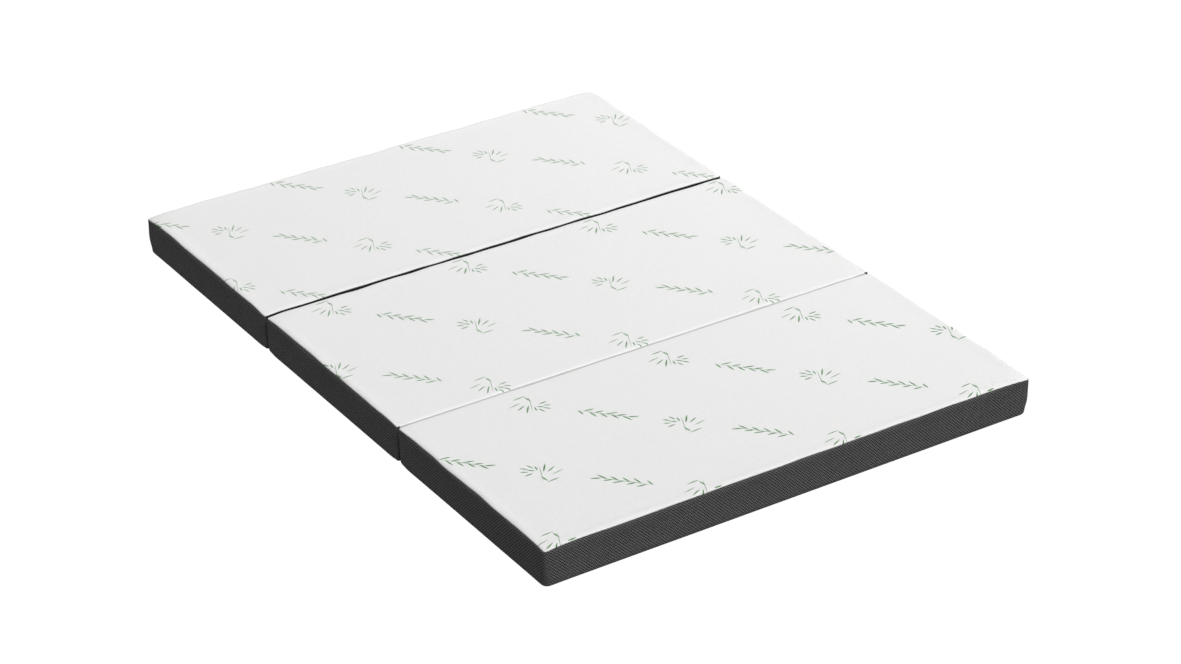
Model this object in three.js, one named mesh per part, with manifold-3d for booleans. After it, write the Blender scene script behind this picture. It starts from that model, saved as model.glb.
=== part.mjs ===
// A tri-fold memory foam mattress, laid open. Three foam panels, each in its own zipped fabric cover,
// are joined end to end by two fabric hinges: the one between the foot and middle panels is at the top,
// and the one between the middle and head panels is at the bottom, so the panels fold into a stack.
// Millimetres. X runs across the width, Y along the length towards the head end, and Z up.
// The origin is on the floor, under the middle of the open mattress.

import * as THREE from "three";
import { mergeVertices } from "three/addons/utils/BufferGeometryUtils.js";
import Module from "manifold-3d";

// The open mattress
const LENGTH = 1905;
const WIDTH = 1372;
const THICKNESS = 102;
const PANELS = ["foot", "middle", "head"];
const JOINT_GAP = 8; // between two panels
const PITCH = (LENGTH + JOINT_GAP) / PANELS.length;
const PANEL_LENGTH = PITCH - JOINT_GAP;
const CLEARANCE = 0.3; // between pieces that touch

// The cover of a panel, and the foam in it
const CORNER_RADIUS = 16; // seen from above
const EDGE_RADIUS = 6; // along the top and bottom edges
const TOP_FABRIC = 2.5;
const BOTTOM_FABRIC = 2;
const SIDE_BAND = 3;
const MEMORY_FOAM = 38;

// The zip in the right-hand side of a panel, with its own axes: u along it, v up and w outwards
const ZIP_HEIGHT = 34; // of its middle above the floor
const ZIP_SLOT = 28; // height of the opening in the band
const ZIP_END = 30; // band left whole at each end
const ZIP_SLOT_LENGTH = PANEL_LENGTH - 2 * ZIP_END;
const TEETH_GAP = 1.4; // between the two rows
const TEETH = 2; // height and depth of a row
const TEETH_FRONT = 0.4; // how far a row stands out of the band
const TAPE = 0.8;
const STOP_LENGTH = 4;
const STOP_WIDTH = 6.4;
const STOP = 0.9;

// The slider of a zip, and its pull
const SLIDER_LENGTH = 14;
const SLIDER_WIDTH = 9;
const SLIDER_WING = 0.9;
const SLIDER_FROM_END = 13; // its middle, from the end of the opening
const POST_LENGTH = 3;
const POST_WIDTH = 0.7;
const ARCH_LENGTH = 8;
const ARCH_WIDTH = 1.6;
const ARCH_WINDOW_LENGTH = 5.2;
const ARCH_WINDOW = 2;
const ARCH_TOP = 1.2;
const PULL_LENGTH = 28;
const PULL_WIDTH = 7.2;
const PULL = 1.2;
const PULL_EYE_LENGTH = 4.8;
const PULL_EYE_WIDTH = 3.2;

// The fabric hinges and the label
const HINGE_TAPE = 1.2;
const HINGE_DEPTH = 2; // below the top face, or above the bottom one
const HINGE_TUCK = 0.4; // how far a leaf goes in under a panel's rounded edge
const HINGE_FROM_SIDE = 20;
const LABEL_LENGTH = 60;
const LABEL_HEIGHT = 38;
const LABEL = 0.4;
const LABEL_BOTTOM = 57;
const LABEL_ALONG = 210; // from the middle of the head panel

const SEGMENTS = 4; // of a quarter circle seen from above
const EDGE_SEGMENTS = 3;

const wasm = await Module();
wasm.setup();

function toSolid(geometry) {
  const bare = geometry.clone();
  bare.deleteAttribute("normal");
  bare.deleteAttribute("uv");
  const merged = mergeVertices(bare, 1e-4);
  const vertProperties = merged.attributes.position.array;
  const triVerts = new Uint32Array(merged.index.array);
  return new wasm.Manifold(new wasm.Mesh({ numProp: 3, vertProperties, triVerts }));
}

function toGeometry(solid) {
  const mesh = solid.getMesh();
  const geometry = new THREE.BufferGeometry();
  geometry.setAttribute("position", new THREE.BufferAttribute(new Float32Array(mesh.vertProperties), 3));
  geometry.setIndex(new THREE.BufferAttribute(new Uint32Array(mesh.triVerts), 1));
  geometry.computeVertexNormals();
  return geometry;
}

// A box given by its lowest and highest corners.
function boxBetween([x0, y0, z0], [x1, y1, z1]) {
  const box = new THREE.BoxGeometry(x1 - x0, y1 - y0, z1 - z0);
  return box.translate((x0 + x1) / 2, (y0 + y1) / 2, (z0 + z1) / 2);
}

function roundedRectangle(width, length, radius) {
  const x = width / 2 - radius;
  const y = length / 2 - radius;
  const outline = new THREE.Shape();
  outline.absarc(x, y, radius, 0, Math.PI / 2);
  outline.absarc(-x, y, radius, Math.PI / 2, Math.PI);
  outline.absarc(-x, -y, radius, Math.PI, 1.5 * Math.PI);
  outline.absarc(x, -y, radius, 1.5 * Math.PI, 2 * Math.PI);
  return outline;
}

function slab(outline, bottom, top) {
  const options = { depth: top - bottom, bevelEnabled: false, curveSegments: SEGMENTS };
  return new THREE.ExtrudeGeometry(outline, options).translate(0, 0, bottom);
}

// A panel's whole outer shape, with its top and bottom edges rounded.
function panelBlock() {
  const options = {
    depth: THICKNESS - 2 * EDGE_RADIUS,
    bevelThickness: EDGE_RADIUS,
    bevelSize: EDGE_RADIUS,
    bevelOffset: -EDGE_RADIUS,
    bevelSegments: EDGE_SEGMENTS,
    curveSegments: SEGMENTS,
  };
  const outline = roundedRectangle(WIDTH, PANEL_LENGTH, CORNER_RADIUS);
  return new THREE.ExtrudeGeometry(outline, options).translate(0, 0, EDGE_RADIUS);
}

// The part of a panel's outer shape between two heights.
function blockLayer(bottom, top) {
  const cutter = boxBetween([-WIDTH, -PANEL_LENGTH, bottom], [WIDTH, PANEL_LENGTH, top]);
  return toSolid(panelBlock()).intersect(toSolid(cutter));
}

// The fabric that runs round the four sides, open at the zip.
function sideBand() {
  const wall = blockLayer(BOTTOM_FABRIC + CLEARANCE, THICKNESS - TOP_FABRIC - CLEARANCE);
  const room = roundedRectangle(
    WIDTH - 2 * SIDE_BAND,
    PANEL_LENGTH - 2 * SIDE_BAND,
    CORNER_RADIUS - SIDE_BAND,
  );
  const slot = boxBetween(
    [WIDTH / 2 - 2 * SIDE_BAND, -ZIP_SLOT_LENGTH / 2, ZIP_HEIGHT - ZIP_SLOT / 2],
    [WIDTH / 2 + SIDE_BAND, ZIP_SLOT_LENGTH / 2, ZIP_HEIGHT + ZIP_SLOT / 2],
  );
  return toGeometry(wall.subtract(toSolid(slab(room, -1, THICKNESS + 1))).subtract(toSolid(slot)));
}

function foamBlock(bottom, top) {
  const inset = SIDE_BAND + CLEARANCE;
  const outline = roundedRectangle(
    WIDTH - 2 * inset,
    PANEL_LENGTH - 2 * inset,
    CORNER_RADIUS - inset,
  );
  return slab(outline, bottom, top);
}

const finishes = {
  knit: { color: 0xe9e9e6, roughness: 0.9 },
  airMesh: { color: 0x34363a, roughness: 0.85 },
  baseFabric: { color: 0x2c2d30, roughness: 0.9 },
  memoryFoam: { color: 0xe7e3c8, roughness: 0.95 },
  supportFoam: { color: 0xf1f0ec, roughness: 0.95 },
  zipTape: { color: 0x26272a, roughness: 0.85 },
  zipTeeth: { color: 0x1a1b1d, roughness: 0.4 },
  zipMetal: { color: 0x2b2c2e, roughness: 0.35, metalness: 0.8 },
  label: { color: 0xf4f4f2, roughness: 0.7 },
};
const materials = Object.fromEntries(
  Object.entries(finishes).map(([name, finish]) => [name, new THREE.MeshStandardMaterial(finish)]),
);

function addPiece(group, name, geometry, material) {
  const mesh = new THREE.Mesh(geometry, materials[material]);
  mesh.name = name;
  group.add(mesh);
  return mesh;
}

// A panel's cover and foam, from the floor up.
function addPanel(group, panel) {
  const foamBottom = BOTTOM_FABRIC + CLEARANCE;
  const foamTop = THICKNESS - TOP_FABRIC - CLEARANCE;
  const foamJoin = foamTop - MEMORY_FOAM;
  const topFabric = toGeometry(blockLayer(THICKNESS - TOP_FABRIC, THICKNESS + 1));
  const bottomFabric = toGeometry(blockLayer(-1, BOTTOM_FABRIC));
  addPiece(group, `${panel}_bottom_fabric`, bottomFabric, "baseFabric");
  addPiece(group, `${panel}_support_foam`, foamBlock(foamBottom, foamJoin - CLEARANCE), "supportFoam");
  addPiece(group, `${panel}_memory_foam`, foamBlock(foamJoin, foamTop), "memoryFoam");
  addPiece(group, `${panel}_side_band`, sideBand(), "airMesh");
  addPiece(group, `${panel}_top_fabric`, topFabric, "knit");
}

// A piece that runs the whole zip, on one side of its middle.
function zipStrip(nearV, farV, backW, frontW) {
  const half = ZIP_SLOT_LENGTH / 2 - CLEARANCE;
  const v = [Math.min(nearV, farV), Math.max(nearV, farV)];
  return boxBetween([-half, v[0], backW], [half, v[1], frontW]);
}

function zipStop() {
  const outline = roundedRectangle(STOP_LENGTH, STOP_WIDTH, 1);
  return slab(outline, TEETH_FRONT + CLEARANCE, TEETH_FRONT + CLEARANCE + STOP);
}

const wingBack = TEETH_FRONT + CLEARANCE; // inner face of the slider's outer wing
const wingFront = wingBack + SLIDER_WING;
const pivotW = wingFront + ARCH_WINDOW / 2; // of the pull's bar

// Two wings with the teeth between them, the post that joins the wings, and the arch that holds the pull.
function slider() {
  const wing = roundedRectangle(SLIDER_LENGTH, SLIDER_WIDTH, 2.5);
  const innerFront = TEETH_FRONT - TEETH - CLEARANCE;
  const outer = toSolid(slab(wing, wingBack, wingFront));
  const inner = toSolid(slab(wing, innerFront - SLIDER_WING, innerFront));
  const postEnd = SLIDER_LENGTH / 2 - 1;
  const post = boxBetween(
    [postEnd - POST_LENGTH, -POST_WIDTH / 2, innerFront - SLIDER_WING / 2],
    [postEnd, POST_WIDTH / 2, wingFront - SLIDER_WING / 2],
  );
  const archTop = wingFront + ARCH_WINDOW + ARCH_TOP;
  const arch = new THREE.Shape();
  arch.moveTo(-ARCH_LENGTH / 2, wingFront - SLIDER_WING / 2);
  arch.lineTo(ARCH_LENGTH / 2, wingFront - SLIDER_WING / 2);
  arch.lineTo(ARCH_LENGTH / 2, archTop - 1);
  arch.lineTo(ARCH_LENGTH / 2 - 1, archTop);
  arch.lineTo(1 - ARCH_LENGTH / 2, archTop);
  arch.lineTo(-ARCH_LENGTH / 2, archTop - 1);
  const side = new THREE.ExtrudeGeometry(arch, { depth: ARCH_WIDTH, bevelEnabled: false });
  side.rotateX(Math.PI / 2).translate(0, ARCH_WIDTH / 2, 0);
  const window = boxBetween(
    [-ARCH_WINDOW_LENGTH / 2, -ARCH_WIDTH, wingFront],
    [ARCH_WINDOW_LENGTH / 2, ARCH_WIDTH, wingFront + ARCH_WINDOW],
  );
  const open = toSolid(side).subtract(toSolid(window));
  return toGeometry(outer.add(inner).add(toSolid(post)).add(open));
}

// A tab whose eye goes round the slider's arch. It lies back over the zip, from its bar at u = 0.
function pull() {
  const bar = PULL / 2;
  const halfEye = PULL_EYE_WIDTH / 2;
  const outline = roundedRectangle(PULL_LENGTH + bar, PULL_WIDTH, 2.4);
  const eye = new THREE.Path();
  const eyeEnd = PULL_LENGTH / 2 + bar / 2 - PULL;
  eye.moveTo(eyeEnd, -halfEye);
  eye.lineTo(eyeEnd, halfEye);
  eye.lineTo(eyeEnd - PULL_EYE_LENGTH, halfEye);
  eye.lineTo(eyeEnd - PULL_EYE_LENGTH, -halfEye);
  outline.holes.push(eye);
  return slab(outline, -PULL / 2, PULL / 2).translate(bar / 2 - PULL_LENGTH / 2, 0, 0);
}

function addZip(group, panel) {
  const zip = new THREE.Group();
  const across = new THREE.Matrix4().makeBasis(
    new THREE.Vector3(0, 1, 0),
    new THREE.Vector3(0, 0, 1),
    new THREE.Vector3(1, 0, 0),
  );
  zip.quaternion.setFromRotationMatrix(across);
  zip.position.set(WIDTH / 2, 0, ZIP_HEIGHT);
  group.add(zip);

  const teethInner = TEETH_GAP / 2;
  const teethOuter = teethInner + TEETH;
  const tapeInner = teethOuter + CLEARANCE;
  const tapeOuter = ZIP_SLOT / 2 - CLEARANCE;
  const middleW = TEETH_FRONT - TEETH / 2;
  for (const [side, sign] of [["upper", 1], ["lower", -1]]) {
    const tape = zipStrip(sign * tapeInner, sign * tapeOuter, middleW - TAPE / 2, middleW + TAPE / 2);
    const teeth = zipStrip(sign * teethInner, sign * teethOuter, TEETH_FRONT - TEETH, TEETH_FRONT);
    addPiece(zip, `${panel}_zip_${side}_tape`, tape, "zipTape");
    addPiece(zip, `${panel}_zip_${side}_teeth`, teeth, "zipTeeth");
  }
  const stopU = ZIP_SLOT_LENGTH / 2 - CLEARANCE - STOP_LENGTH / 2;
  addPiece(zip, `${panel}_zip_top_stop`, zipStop(), "zipMetal").position.x = stopU;
  addPiece(zip, `${panel}_zip_bottom_stop`, zipStop(), "zipMetal").position.x = -stopU;

  const sliderU = ZIP_SLOT_LENGTH / 2 - SLIDER_FROM_END;
  addPiece(zip, `${panel}_zip_slider`, slider(), "zipMetal").position.x = sliderU;
  addPiece(zip, `${panel}_zip_pull`, pull(), "zipMetal").position.set(sliderU, 0, pivotW);
}

// One leaf of a fabric hinge: it reaches from under a panel's edge to the middle of the joint.
function hingeLeaf(jointY, side, bottom) {
  const outer = jointY + side * (JOINT_GAP / 2 + HINGE_TUCK);
  const inner = jointY + (side * CLEARANCE) / 2;
  const halfWidth = WIDTH / 2 - HINGE_FROM_SIDE;
  return boxBetween(
    [-halfWidth, Math.min(inner, outer), bottom],
    [halfWidth, Math.max(inner, outer), bottom + HINGE_TAPE],
  );
}

const mattress = new THREE.Group();
mattress.name = "tri_fold_mattress";
PANELS.forEach((panel, i) => {
  const group = new THREE.Group();
  group.position.y = (i - 1) * PITCH;
  addPanel(group, panel);
  addZip(group, panel);
  mattress.add(group);
});

const topHinge = THICKNESS - HINGE_DEPTH - HINGE_TAPE;
const nearJoint = -PITCH / 2;
const farJoint = PITCH / 2;
addPiece(mattress, "top_hinge_foot_leaf", hingeLeaf(nearJoint, -1, topHinge), "knit");
addPiece(mattress, "top_hinge_middle_leaf", hingeLeaf(nearJoint, 1, topHinge), "knit");
addPiece(mattress, "bottom_hinge_middle_leaf", hingeLeaf(farJoint, -1, HINGE_DEPTH), "airMesh");
addPiece(mattress, "bottom_hinge_head_leaf", hingeLeaf(farJoint, 1, HINGE_DEPTH), "airMesh");

const labelX = WIDTH / 2 + CLEARANCE;
const labelY = PITCH + LABEL_ALONG;
const label = boxBetween(
  [labelX, labelY - LABEL_LENGTH / 2, LABEL_BOTTOM],
  [labelX + LABEL, labelY + LABEL_LENGTH / 2, LABEL_BOTTOM + LABEL_HEIGHT],
);
addPiece(mattress, "care_label", label, "label");

export default mattress;
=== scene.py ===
# %% [markdown]
# # A mattress that folds in three
#
# The mattress is three foam panels, each in its own zipped cover. A strip of cloth along the top of one
# joint and another along the foot of the other let it fold up like a letter Z.
#
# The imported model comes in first, as a fixed frame in metres. Every piece below is made where that frame
# says, so nothing has to be fitted together at the end.

import math

import bpy
import numpy as np
from mathutils import Matrix, Vector


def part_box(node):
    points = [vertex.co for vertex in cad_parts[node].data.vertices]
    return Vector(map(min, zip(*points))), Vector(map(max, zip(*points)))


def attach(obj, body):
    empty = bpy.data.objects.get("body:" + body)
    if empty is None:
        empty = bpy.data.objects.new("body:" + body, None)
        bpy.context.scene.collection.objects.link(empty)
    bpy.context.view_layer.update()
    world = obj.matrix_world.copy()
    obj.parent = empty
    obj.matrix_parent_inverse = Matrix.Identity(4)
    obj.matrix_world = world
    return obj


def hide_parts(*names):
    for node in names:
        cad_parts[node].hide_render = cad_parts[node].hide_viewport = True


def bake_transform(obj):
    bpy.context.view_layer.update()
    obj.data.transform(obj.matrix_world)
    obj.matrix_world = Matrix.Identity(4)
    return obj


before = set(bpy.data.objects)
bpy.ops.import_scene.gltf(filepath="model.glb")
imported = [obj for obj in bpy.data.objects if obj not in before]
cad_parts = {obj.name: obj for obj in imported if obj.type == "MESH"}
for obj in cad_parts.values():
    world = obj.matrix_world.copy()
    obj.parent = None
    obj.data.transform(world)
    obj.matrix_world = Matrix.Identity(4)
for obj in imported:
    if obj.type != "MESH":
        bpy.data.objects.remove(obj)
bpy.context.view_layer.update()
scene = bpy.context.scene
scene.view_settings.view_transform = "Standard"

# %% [markdown]
# All sizes come from the frame's own pieces. A panel's cover is found by its top and bottom cloth, and the
# two fold lines lie midway between neighbouring covers.

# %% Sizes of the panels
MM = 0.001
PANELS = ("foot", "middle", "head")


def cover_box(panel):
    """The lowest and highest corners of a panel's cover."""
    band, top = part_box(f"{panel}_side_band"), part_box(f"{panel}_top_fabric")
    return np.array((*band[0][:2], 0.0)), np.array((*band[1][:2], top[1][2]))


COVERS = {panel: cover_box(panel) for panel in PANELS}
HALF_WIDTH = float(COVERS["foot"][1][0])
THICK = float(COVERS["foot"][1][2])
HALF_LENGTH = float(COVERS["foot"][1][1] - COVERS["foot"][0][1]) / 2
CENTRE = {panel: float(low[1] + high[1]) / 2 for panel, (low, high) in COVERS.items()}
TOP_FOLD = (CENTRE["foot"] + CENTRE["middle"]) / 2
LOW_FOLD = (CENTRE["middle"] + CENTRE["head"]) / 2
print("panel", HALF_WIDTH * 2, "x", HALF_LENGTH * 2, "x", THICK, "folds at", TOP_FOLD, LOW_FOLD)

# %% [markdown]
# The camera stands off one corner of the foot end and looks down at about thirty degrees. A long lens from
# almost nine metres keeps the far edge nearly as wide as the near one, as a catalogue shows a bed.

# %% Camera
AZIMUTH, ELEVATION, ROLL = math.radians(-33.10), math.radians(29.40), math.radians(-0.27)
DISTANCE, FOCAL_LENGTH, SENSOR_WIDTH = 8.836, 108.2, 36.0
TARGET = Vector((0.0298, -0.0457, 0.004))

away = Vector(
    (
        math.sin(AZIMUTH) * math.cos(ELEVATION),
        -math.cos(AZIMUTH) * math.cos(ELEVATION),
        math.sin(ELEVATION),
    )
)
level = Vector((math.cos(AZIMUTH), math.sin(AZIMUTH), 0))
upward = away.cross(level)
across = level * math.cos(ROLL) + upward * math.sin(ROLL)
lens = bpy.data.cameras.new("camera")
lens.lens, lens.sensor_width = FOCAL_LENGTH, SENSOR_WIDTH
camera = bpy.data.objects.new("camera", lens)
turn = Matrix((across, away.cross(across), away)).transposed().to_4x4()
camera.matrix_world = Matrix.Translation(TARGET + away * DISTANCE) @ turn
scene.collection.objects.link(camera)
scene.camera = camera
print("camera at", [round(v, 3) for v in camera.matrix_world.translation])

# %% [markdown]
# A studio sweep that is lit until it is pure white shows no shadow. The floor here glows plain white for
# the camera and gives the mattress no light of its own, and a dome of the same white stands behind it. The
# floor lies a little more than a panel's thickness below the underside, because the head panel swings down
# there when that joint folds.

# %% Floor and backdrop
FLOOR_DROP, FLOOR_SIZE, WHITE_GLOW = THICK + 13 * MM, 60.0, 1.02


def lit_white(name):
    """Makes the newest piece glow plain white for the camera and give no light or shadow."""
    piece = bpy.context.object
    piece.name = name
    white = bpy.data.materials.new(name + "_white")
    white.use_nodes = True
    tree = white.node_tree
    tree.nodes.clear()
    glow = tree.nodes.new("ShaderNodeEmission")
    glow.inputs["Color"].default_value = (1, 1, 1, 1)
    glow.inputs["Strength"].default_value = WHITE_GLOW
    out = tree.nodes.new("ShaderNodeOutputMaterial")
    tree.links.new(glow.outputs[0], out.inputs[0])
    piece.data.materials.append(white)
    for ray in ("diffuse", "glossy", "transmission", "shadow"):
        setattr(piece, "visible_" + ray, False)


bpy.ops.object.select_all(action="DESELECT")
bpy.ops.mesh.primitive_plane_add(size=FLOOR_SIZE, location=(0, 0, -FLOOR_DROP))
lit_white("floor")
bpy.ops.object.select_all(action="DESELECT")
bpy.ops.mesh.primitive_uv_sphere_add(segments=48, ring_count=24, radius=FLOOR_SIZE / 2)
lit_white("backdrop")
print("floor at", -FLOOR_DROP)

# %% [markdown]
# The light is a pale sky from all sides and one broad soft key from the foot end, so the foot end's mesh is
# clearly lighter than the long side's. A wide lamp on the zip side lifts that half of the top.

# %% Sky and lamps
def studio_sky(overhead, underfoot):
    """A pale sky that is a little dimmer from below, as over a floor in soft shade."""
    sky = bpy.data.worlds.new("studio_sky")
    sky.use_nodes = True
    nodes, links = sky.node_tree.nodes, sky.node_tree.links
    heading = nodes.new("ShaderNodeTexCoord")
    parts = nodes.new("ShaderNodeSeparateXYZ")
    share = nodes.new("ShaderNodeMapRange")
    for place, value in enumerate((-0.25, 0.25, underfoot, overhead), start=1):
        share.inputs[place].default_value = value
    links.new(heading.outputs["Generated"], parts.inputs[0])
    links.new(parts.outputs[2], share.inputs[0])
    links.new(share.outputs[0], nodes["Background"].inputs["Strength"])
    nodes["Background"].inputs["Color"].default_value = (1, 1, 1, 1)
    return sky


def soft_light(name, kind, energy, place, towards, spread):
    """A lamp at one place turned towards another; spread is a sun's angle or a disk's width."""
    lamp = bpy.data.lights.new(name, kind)
    lamp.energy = energy
    if kind == "SUN":
        lamp.angle = spread
    else:
        lamp.shape, lamp.size = "DISK", spread
    light = bpy.data.objects.new(name, lamp)
    light.location = place
    light.rotation_euler = (Vector(towards) - Vector(place)).to_track_quat("-Z", "Y").to_euler()
    scene.collection.objects.link(light)


scene.world = studio_sky(overhead=0.34, underfoot=0.17)
soft_light("key", "SUN", 2.32, (1.2, -3.5, 4.4), (0, 0, 0), math.radians(72))
soft_light("fill", "AREA", 74, (4.1, 0.8, 2.7), (0.2, 0.1, 0), 2.5)

# %% [markdown]
# A few small helpers keep the steps below short. The first ones select a single piece, put a new piece's
# place into its mesh, start a box at its size and place, copy a mesh, and read and write its points.

# %% Starting and selecting a piece
def only(piece):
    """Selects one piece and nothing else."""
    if bpy.context.object and bpy.context.object.mode != "OBJECT":
        bpy.ops.object.mode_set(mode="OBJECT")
    bpy.ops.object.select_all(action="DESELECT")
    piece.select_set(True)
    bpy.context.view_layer.objects.active = piece
    return piece


def settle(piece, name):
    """Names a new piece and puts its place into its mesh."""
    only(piece)
    bpy.ops.object.transform_apply(location=True, rotation=True, scale=True)
    piece.name = piece.data.name = name
    return piece


def start_box(name, low, high):
    low, high = np.array(low, float), np.array(high, float)
    bpy.ops.object.select_all(action="DESELECT")
    bpy.ops.mesh.primitive_cube_add(size=1, location=(low + high) / 2, scale=high - low)
    return settle(bpy.context.object, name)


def copy_of(source, name):
    piece = bpy.data.objects.new(name, source.data.copy())
    scene.collection.objects.link(piece)
    piece.data.name = name
    return piece


def points(piece):
    found = np.empty(len(piece.data.vertices) * 3)
    piece.data.vertices.foreach_get("co", found)
    return found.reshape(-1, 3)


def move_points(piece, places):
    piece.data.vertices.foreach_set("co", np.asarray(places, float).ravel())
    piece.data.update()


print("starting helpers ready")

# %% [markdown]
# Next come the cuts. Edges and faces are chosen in code, with a true or false for each. A box is cut into
# strips along an axis by Subdivide on the edges that run that way, and cut straight across by Bisect.

# %% Choosing and cutting
def choose(piece, edges=None, faces=None):
    """Opens a mesh for editing with only some edges or faces selected, given a true or false for each."""
    only(piece)
    bpy.ops.object.mode_set(mode="EDIT")
    bpy.ops.mesh.select_mode(type="EDGE" if faces is None else "FACE")
    bpy.ops.mesh.select_all(action="DESELECT")
    bpy.ops.object.mode_set(mode="OBJECT")
    if faces is None:
        held = np.zeros(len(piece.data.vertices), bool)
        held[edge_ends(piece)[edges].ravel()] = True
        piece.data.vertices.foreach_set("select", held)
        piece.data.edges.foreach_set("select", np.asarray(edges, bool))
    else:
        piece.data.polygons.foreach_set("select", np.asarray(faces, bool))
    bpy.ops.object.mode_set(mode="EDIT")


def choose_all(piece):
    only(piece)
    bpy.ops.object.mode_set(mode="EDIT")
    bpy.ops.mesh.select_all(action="SELECT")


def close_edit():
    bpy.ops.object.mode_set(mode="OBJECT")


def edge_ends(piece):
    ends = np.empty(len(piece.data.edges) * 2, int)
    piece.data.edges.foreach_get("vertices", ends)
    return ends.reshape(-1, 2)


def edges_along(piece, axis):
    """True for each edge that runs along an axis."""
    ends, co = edge_ends(piece), points(piece)
    run = np.abs(co[ends[:, 0]] - co[ends[:, 1]])
    return run[:, axis] > 0.99 * run.sum(1)


def cut_along(piece, axis, cuts):
    """Cuts every edge that runs along an axis into cuts + 1 equal lengths."""
    choose(piece, edges=edges_along(piece, axis))
    bpy.ops.mesh.subdivide(number_cuts=cuts)
    close_edit()
    return piece


def cut_across(piece, axis, low, high, cuts):
    """Cuts a block straight across an axis in several even places between low and high."""
    for place in np.linspace(low[axis], high[axis], cuts + 2)[1:-1]:
        choose_all(piece)
        point, normal = [0, 0, 0], [0, 0, 0]
        point[axis], normal[axis] = float(place), 1
        bpy.ops.mesh.bisect(plane_co=point, plane_no=normal)
        close_edit()


print("cutting helpers ready")

# %% [markdown]
# The last helpers finish a piece: they apply modifiers, give it its material and shade it smooth. Two more
# are plain sums, a smooth step and a random wave, that bend cloth and foam out of true.

# %% Finishing a piece
def apply_modifier(piece, kind, **settings):
    only(piece)
    modifier = piece.modifiers.new(kind.lower(), kind)
    for name, value in settings.items():
        setattr(modifier, name, value)
    bpy.ops.object.modifier_apply(modifier=modifier.name)
    return piece


def subdivide_once(piece):
    return apply_modifier(piece, "SUBSURF", levels=1, render_levels=1)


def round_edges(piece, width, segments, angle):
    """Bevels every edge that turns by more than an angle in degrees."""
    limit = {"limit_method": "ANGLE", "angle_limit": math.radians(angle)}
    return apply_modifier(piece, "BEVEL", width=width, segments=segments, **limit)


def repeat_along_y(piece, count, step):
    offset = {"use_relative_offset": False, "use_constant_offset": True}
    return apply_modifier(piece, "ARRAY", count=count, constant_offset_displace=(0, step, 0), **offset)


def smooth(piece, angle=None):
    only(piece)
    if angle is None:
        bpy.ops.object.shade_smooth()
    else:
        bpy.ops.object.shade_smooth_by_angle(angle=math.radians(angle))
    return piece


def dress(piece, material, angle):
    """Gives a piece one material and shades it smooth over the edges under an angle in degrees."""
    piece.data.materials.clear()
    piece.data.materials.append(material)
    return smooth(piece, angle)


def ease(value, start, end):
    """0 before start, 1 after end, and a smooth step between them."""
    t = np.clip((value - start) / (end - start), 0, 1)
    return t * t * (3 - 2 * t)


def ripples(places, length, seed, count=10):
    """A smooth random field, between about -1 and 1, whose hills are about length apart."""
    draw = np.random.default_rng(seed)
    heading = draw.normal(size=(count, 3))
    heading /= np.linalg.norm(heading, axis=1)[:, None]
    rate = 2 * np.pi / length * draw.uniform(0.6, 1.3, count)
    phase = draw.uniform(0, 2 * np.pi, count)
    waves = np.cos((places @ heading.T) * rate + phase)
    return waves.sum(1) / math.sqrt(count * 1.5)


print("finishing helpers ready")

# %% [markdown]
# ## Materials
#
# Every finish is worked out by nodes from the object's own coordinates in metres, so a pattern keeps its
# real size. These helpers add a node, wire its inputs, and end a material in one cloth-like or hard shader.
# Even values such as roughness are typed into the shader itself.

# %% Helpers for materials
def node(tree, kind, *feeds, **settings):
    made = tree.nodes.new("ShaderNode" + kind)
    for name, value in settings.items():
        setattr(made, name, value)
    for place, feed in enumerate(feeds):
        if isinstance(feed, bpy.types.NodeSocket):
            tree.links.new(feed, made.inputs[place])
        elif feed is not None:
            made.inputs[place].default_value = feed
    return made


def calc(tree, operation, *feeds):
    return node(tree, "Math", *feeds, operation=operation).outputs[0]


def soft_step(tree, value, start, end, low=0.0, high=1.0):
    """Runs smoothly from low to high as value goes from start to end."""
    made = node(tree, "MapRange", value, start, end, low, high, interpolation_type="SMOOTHSTEP")
    return made.outputs[0]


def blend_colour(tree, share, first, second):
    made = node(tree, "Mix", data_type="RGBA")
    for socket, feed in zip((made.inputs[0], made.inputs[6], made.inputs[7]), (share, first, second)):
        if isinstance(feed, bpy.types.NodeSocket):
            tree.links.new(feed, socket)
        elif socket == made.inputs[0]:
            socket.default_value = feed
        else:
            socket.default_value = (*feed, 1)
    return made.outputs[2]


def mottle(tree, place, scale, detail=2.0, rough=0.5):
    made = node(tree, "TexNoise", place)
    made.inputs["Scale"].default_value = scale
    made.inputs["Detail"].default_value = detail
    made.inputs["Roughness"].default_value = rough
    return made.outputs[0]


def new_material(name):
    """An empty material, its tree, and its object coordinates as a vector and as x, y and z."""
    made = bpy.data.materials.new(name)
    made.use_nodes = True
    tree = made.node_tree
    tree.nodes.clear()
    place = node(tree, "TexCoord").outputs["Object"]
    return made, tree, place, node(tree, "SeparateXYZ", place).outputs


def finish(tree, colour, height, depth, roughness, sheen=0.0, specular=0.3):
    """Ends a material: its colour and relief are wired in, and even values are typed in."""
    shader = node(tree, "BsdfPrincipled")
    tree.links.new(colour, shader.inputs["Base Color"])
    shader.inputs["Specular IOR Level"].default_value = specular
    shader.inputs["Sheen Weight"].default_value = sheen
    shader.inputs["Sheen Roughness"].default_value = 0.5
    if isinstance(roughness, bpy.types.NodeSocket):
        tree.links.new(roughness, shader.inputs["Roughness"])
    else:
        shader.inputs["Roughness"].default_value = roughness
    bump = node(tree, "Bump")
    bump.inputs["Strength"].default_value = 1.0
    bump.inputs["Distance"].default_value = depth
    tree.links.new(height, bump.inputs["Height"])
    tree.links.new(bump.outputs[0], shader.inputs["Normal"])
    node(tree, "OutputMaterial", shader.outputs[0])


print("material helpers ready")

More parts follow.
